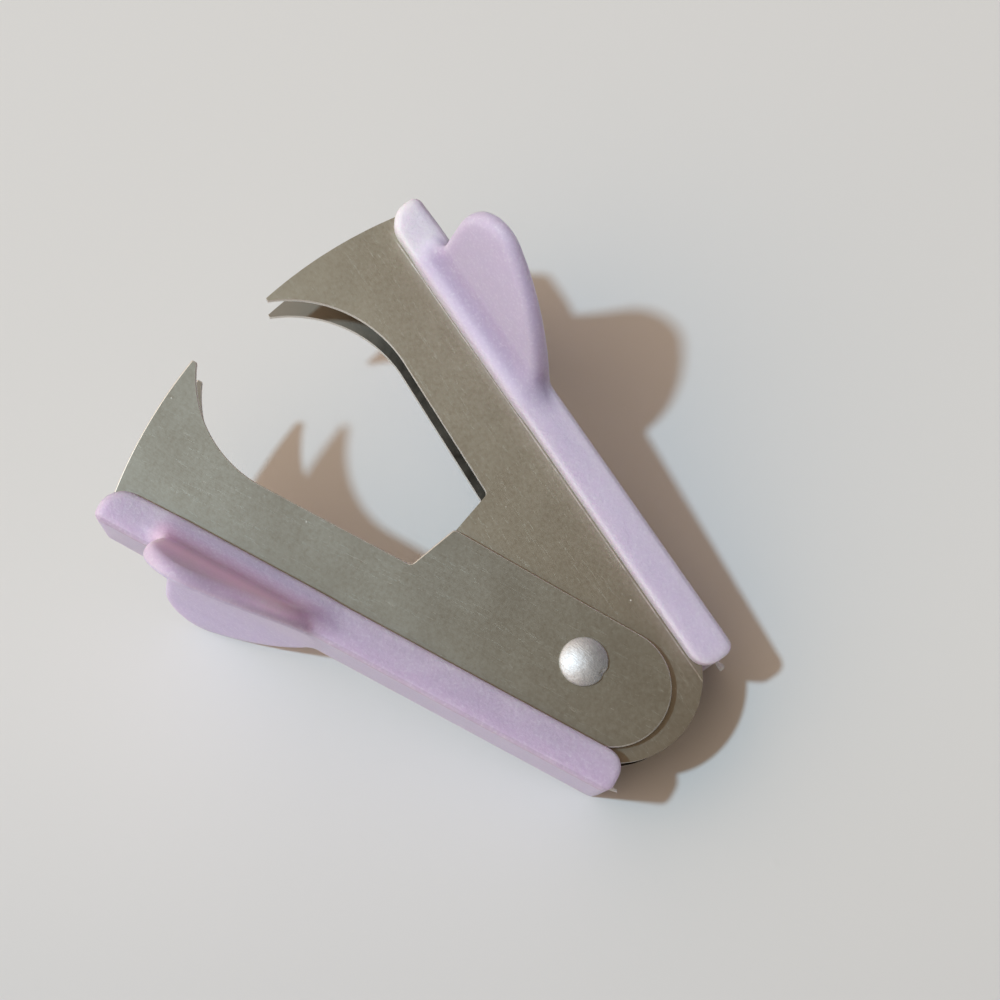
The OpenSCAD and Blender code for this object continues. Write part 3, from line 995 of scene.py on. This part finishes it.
def pearl_plastic(name, claw, pale, deep, painted_valley_tone, leaf, foot, rim, nose_highlight):
    """Lilac plastic with a pearly, slightly translucent body, mottled by its moulded grain. The valleys
    beside the wings and the claw sides of the wings carry painted light and shade: lighter where the outer
    grip lies in shade, darker on the inner grip. The nose has a painted bluish-white highlight, its strength
    set per claw, and the gate stub is pale too. A painted dark line along the parting line stands for the
    shade of a fine groove. Depth is measured from the bar's finger side towards the claw, and level from the
    finger side of the bent wings."""
    n = Nodes(name)
    local = n.local()
    u, v, z = n.split(local)
    z = n.math("ABSOLUTE", z)
    depth = n.total(v, claw.back)
    level = n.total(depth, n.product(z, z, claw.rise / WING_HALF ** 2))
    flow = n.noise(n.stretch(local, (0.3, 1.0, 1.0)), 0.4, 4, 0.55, 1.2)
    flake = n.noise(local, 3.2, 4, 0.75)
    valley_shading = valley_shading_mask(n, u, z, depth)
    # painted highlight: a bluish-white sheen on the nose, strong on the inner grip, faint on the outer
    painted_nose_highlight = n.product(n.fade(u, 39.7, 42.0), n.fade(depth, 0.2, 1.2), nose_highlight)
    on_back = n.product(n.fade(level, 0.4, 0.2), 0.5)
    tone = n.mix(n.ramp(flow, [(0.35, 0.0), (0.65, 1.0)]), rgba(*deep), rgba(*pale))
    # painted light and shade on the wings' claw sides: lighter and pinker on the outer grip, lifting its
    # shade; darker on the inner grip
    tone = n.mix(wing_shading_mask(n, z, level, foot, rim), tone, rgba(*leaf))
    # painted shade in the inner grip's creases, painted light over the outer grip's shaded creases
    tone = n.mix(valley_shading, tone, rgba(*painted_valley_tone))
    tone = n.mix(painted_nose_highlight, tone, rgba(0.86, 0.83, 1.0))
    tone = n.mix(on_back, tone, rgba(deep[0] * 0.92, deep[1] * 1.08, deep[2] * 1.2))
    # painted shade: a dark line where a fine groove along the parting line would be shaded
    tone = n.mix(n.product(parting_shade_mask(n, z, depth, level), 0.6), tone, shade(deep, 0.72))
    tone = n.mix(n.ramp(flake, [(0.5, 0.0), (0.8, 0.4)]), tone, rgba(0.88, 0.88, 0.95))
    tone = n.mix(n.ramp(flake, [(0.22, 0.25), (0.45, 0.0)]), tone, shade(deep, 0.75))
    tone = n.mix(n.product(stub_mask(n, claw, u, z), 0.7), tone, rgba(0.9, 0.88, 0.9))
    normal = n.bump(n.total(flake, n.noise(local, 1.0, 2, 0.5)), 0.6, 0.0001)
    rough = n.total(0.34, n.product(flake, 0.16), n.product(valley_shading, 0.25))
    return n.finish(tone, rough, normal, Subsurface_Weight=0.85, Subsurface_Scale=0.003,
                    Subsurface_Radius=(1.0, 0.8, 0.95), Specular_IOR_Level=0.45)


def rivet_metal(name):
    """Soft satin aluminium with the setting tool's small rub marks."""
    n = Nodes(name)
    local = n.local()
    blotch = n.noise(local, 1.3, 4, 0.6, 0.5)
    rub = n.noise(n.stretch(local, (1.0, 4.0, 1.0)), 2.4, 3, 0.6, 0.6)
    mark = n.ramp(rub, [(0.58, 0.0), (0.64, 1.0)])
    tone = n.mix(n.ramp(blotch, [(0.3, 0.0), (0.7, 1.0)]), rgba(0.66, 0.67, 0.68), rgba(0.82, 0.83, 0.84))
    tone = n.mix(n.product(mark, 0.4), tone, rgba(0.46, 0.45, 0.43))
    normal = n.bump(n.total(blotch, n.product(rub, 0.8)), 0.5, 0.0001)
    rough = n.total(0.46, n.product(rub, 0.2))
    return n.finish(tone, rough, normal, Metallic=0.82)


def wire_metal(name):
    """Drawn spring wire: grey, finely marked, with a little soot in random patches."""
    n = Nodes(name)
    local = n.local()
    soot = n.noise(local, 0.9, 3, 0.6)
    tone = n.mix(n.ramp(soot, [(0.35, 0.0), (0.7, 1.0)]), rgba(0.6, 0.59, 0.57), rgba(0.4, 0.38, 0.35))
    rough = n.total(0.25, n.product(soot, 0.2))
    normal = n.bump(n.noise(local, 12.0, 2, 0.5), 0.2, 0.00003)
    return n.finish(tone, rough, normal, Metallic=1.0)


def table_paint(name):
    """Plain pale table top, faintly uneven, with painted shade that greys it towards the near side, where
    the light falls off, and a few pinprick bumps.
    """
    n = Nodes(name)
    place = n.add("TexCoord").outputs["Object"]
    x, y, _ = n.split(place)
    spots = n.add("TexVoronoi", Vector=place, Scale=42.0, Randomness=1.0)
    pimple = n.ramp(spots.outputs["Distance"], [(0.012, 1.0), (0.032, 0.0)])
    near = n.total(n.product(y, 0.76), n.product(x, -0.65))
    tone = n.mix(n.noise(place, 9.0, 2, 0.5), rgba(0.69, 0.685, 0.67), rgba(0.725, 0.722, 0.71))
    tone = n.mix(n.product(pimple, 0.1), tone, rgba(0.6, 0.59, 0.57))
    # painted shade: greyer towards the near side, where the light falls off
    tone = n.mix(n.product(n.fade(near, 0.0, 0.06), 0.4), tone, rgba(0.52, 0.52, 0.525))
    height = n.total(n.noise(place, 900.0, 3, 0.5), n.product(pimple, 4.0))
    return n.finish(tone, 0.6, n.bump(height, 0.14, 0.00006))


# ---------------------------------------------------------------- stage, in metres
TABLE_HALF = 1.2
TABLE_GAP = 0.00002
KEY_WAY = Vector((0.238, 0.361, 1.0))
KEY_DISTANCE = 3.0
KEY_SIZE = 0.183
KEY_WATTS = 51.5
KEY_COLOUR = (0.58, 0.82, 1.0)
ROOM_WAY = (0.63, 0.585, 0.51)
ROOM_DIM = rgba(0.05, 0.039, 0.03)
ROOM_BRIGHT = rgba(1.53, 1.175, 0.893)
SENSOR_MM = 36
LENS_IN_SENSORS = 2.3
CAMERA_FROM_PIVOT = Vector((-0.05565, 0.03148, 0.2119))
CAMERA_RIGHT = Vector((-0.7259, -0.6762, -0.1259))
CAMERA_DOWN = Vector((-0.6082, 0.7165, -0.3416))


def build_table():
    size = TABLE_HALF
    points = [(-size, -size, 0), (size, -size, 0), (size, size, 0), (-size, size, 0)]
    table = new_object("table", points, [(0, 1, 2, 3)])
    table.location.z = cad_low.z - TABLE_GAP
    table.data.materials.append(table_paint("table_paint"))


def build_key_light():
    """The lamp that throws the shadows: far off and small, aimed at the middle of the stage."""
    light = bpy.data.lights.new("key", "AREA")
    light.shape = "DISK"
    light.size = KEY_SIZE
    light.energy = KEY_WATTS
    light.color = KEY_COLOUR
    obj = bpy.data.objects.new("key", light)
    bpy.context.scene.collection.objects.link(obj)
    obj.location = KEY_WAY.normalized() * KEY_DISTANCE
    obj.rotation_euler = (Vector((0, 0, 0.01)) - obj.location).to_track_quat("-Z", "Y").to_euler()


def build_room():
    """Soft warm light from above one side of the room, fading to a dim other side."""
    world = bpy.data.worlds.new("room")
    world.use_nodes = True
    tree = world.node_tree
    toward = tree.nodes.new("ShaderNodeVectorMath")
    toward.operation = "DOT_PRODUCT"
    toward.inputs[1].default_value = ROOM_WAY
    place = tree.nodes.new("ShaderNodeTexCoord")
    tree.links.new(place.outputs["Generated"], toward.inputs[0])
    spread = tree.nodes.new("ShaderNodeMapRange")
    spread.interpolation_type = "SMOOTHSTEP"
    spread.inputs["From Min"].default_value = -0.2
    spread.inputs["From Max"].default_value = 1.3
    tree.links.new(toward.outputs["Value"], spread.inputs["Value"])
    tone = tree.nodes.new("ShaderNodeMix")
    tone.data_type = "RGBA"
    colours = [socket for socket in tone.inputs if socket.type == "RGBA"]
    colours[0].default_value = ROOM_DIM
    colours[1].default_value = ROOM_BRIGHT
    tree.links.new(spread.outputs["Result"], tone.inputs["Factor"])
    tree.links.new(tone.outputs["Result"], tree.nodes["Background"].inputs["Color"])
    bpy.context.scene.world = world


def build_camera():
    """The photo's view. The camera's directions are squared up before they are used."""
    camera = bpy.data.cameras.new("camera")
    camera.sensor_width = SENSOR_MM
    camera.lens = SENSOR_MM * LENS_IN_SENSORS
    camera.clip_start = 0.01
    obj = bpy.data.objects.new("camera", camera)
    bpy.context.scene.collection.objects.link(obj)
    ahead = CAMERA_RIGHT.cross(CAMERA_DOWN).normalized()
    down = ahead.cross(CAMERA_RIGHT).normalized()
    right = down.cross(ahead).normalized()
    turn = Matrix((right, -down, -ahead)).transposed().to_4x4()
    obj.matrix_world = Matrix.Translation(PIVOT + CAMERA_FROM_PIVOT) @ turn
    bpy.context.scene.camera = obj


# ---------------------------------------------------------------- the scene
# front and rear tones paint a reflection: cooler and lighter at the front, darker and warmer towards the
# pivot. The lip reflection share sets the painted bright line past the grip's lip.
outer_steel = steel_skin("outer_steel", OUTER_CLAW, front=(0.345, 0.345, 0.30),
                         rear=(0.30, 0.265, 0.197), lip_reflection_share=0.1)
inner_steel = steel_skin("inner_steel", INNER_CLAW, front=(0.392, 0.365, 0.293),
                         rear=(0.295, 0.255, 0.193), lip_reflection_share=0.9)
edge_steel = cut_edge("cut_edge", (0.93, 0.9, 0.83))
shaded_hollow_steel = steel_inside("shaded_hollow_steel")
# outer grip: valleys and wings' claw sides painted lighter and pinker over their shade; faint painted nose
# highlight
outer_plastic = pearl_plastic("outer_lilac", OUTER_CLAW, pale=(0.61, 0.51, 0.68), deep=(0.555, 0.46, 0.625),
                              painted_valley_tone=(0.67, 0.49, 0.67), leaf=(0.94, 0.71, 1.0),
                              foot=11.5, rim=0.0, nose_highlight=0.12)
# inner grip: valleys and wings' claw sides painted darker as shade; strong painted nose highlight
inner_plastic = pearl_plastic("inner_lilac", INNER_CLAW, pale=(0.76, 0.68, 0.85), deep=(0.70, 0.62, 0.79),
                              painted_valley_tone=(0.485, 0.41, 0.585), leaf=(0.555, 0.50, 0.66),
                              foot=6.6, rim=1.0, nose_highlight=0.75)

build_jaw(OUTER_CLAW, [outer_steel, edge_steel, shaded_hollow_steel])
build_jaw(INNER_CLAW, [inner_steel, edge_steel, shaded_hollow_steel])
build_grip(OUTER_CLAW, outer_plastic)
build_grip(INNER_CLAW, inner_plastic)
build_rivet(rivet_metal("rivet_aluminium"))
build_spring(wire_metal("spring_wire"))
build_table()
build_key_light()
build_room()
build_camera()
bpy.context.scene.view_settings.view_transform = "Standard"
